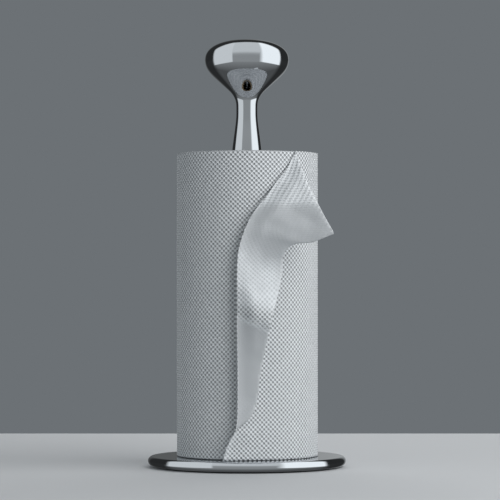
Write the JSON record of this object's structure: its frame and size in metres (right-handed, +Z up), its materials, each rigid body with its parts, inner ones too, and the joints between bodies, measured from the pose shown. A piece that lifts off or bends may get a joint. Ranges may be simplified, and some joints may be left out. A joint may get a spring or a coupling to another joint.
{
  "type": "paper towel holder",
  "caption": "Free-standing paper towel holder: heavy polished round base, central post with a flared stem and a wide mushroom knob, loaded with a paper roll.",
  "frame": {"origin": "middle of the underside of the foam pad, on the counter", "axes": "+Z up along the post; -Y is the front, where the roll's last sheet is turned over; +X is to the right seen from the front"},
  "size_m": [0.162, 0.162, 0.35],
  "materials": {
    "polished_steel": "polished",
    "plain_steel": "satin",
    "cast_iron": "matte",
    "foam_rubber": "matte",
    "zinc_steel": "satin",
    "nylon": "satin",
    "turned_steel": "satin",
    "core_board": "matte",
    "towel_paper": "matte"
  },
  "bodies": {
    "base": {"base_shell": "polished_steel", "base_weight": "cast_iron", "non_slip_pad": "foam_rubber", "centre_stud": "zinc_steel", "lock_washer": "zinc_steel", "centre_collar": "zinc_steel"},
    "foot_ring": {"foot_washer": "nylon"},
    "post": {"post_tube": "plain_steel", "foot_insert": "turned_steel", "tie_bolt": "zinc_steel", "tie_bolt_washer": "zinc_steel", "post_coupler": "turned_steel", "stem_sleeve": "polished_steel", "knob_boss": "turned_steel", "knob_cup": "polished_steel", "knob_dome": "polished_steel"},
    "roll": {"roll_core": "core_board", "paper_roll": "towel_paper", "loose_sheet": "towel_paper"}
  },
  "joints": [
    {"name": "roll_spin", "type": "hinge", "parent": "base", "child": "roll", "pos_m": [0, 0, 0.1], "axis": [0, 0, 1], "continuous": true},
    {"name": "post_rise", "type": "slide", "parent": "base", "child": "foot_ring", "axis": [0, 0, 1], "range_m": [0, 0.00901]},
    {"name": "post_unscrew", "type": "hinge", "parent": "foot_ring", "child": "post", "pos_m": [0, 0, 0.1], "axis": [0, 0, 1], "range_deg": [0, 2160]}
  ],
  "couplings": [
    {"joint": "post_rise", "follows": "post_unscrew", "m_per_rad": 0.00023873}
  ]
}
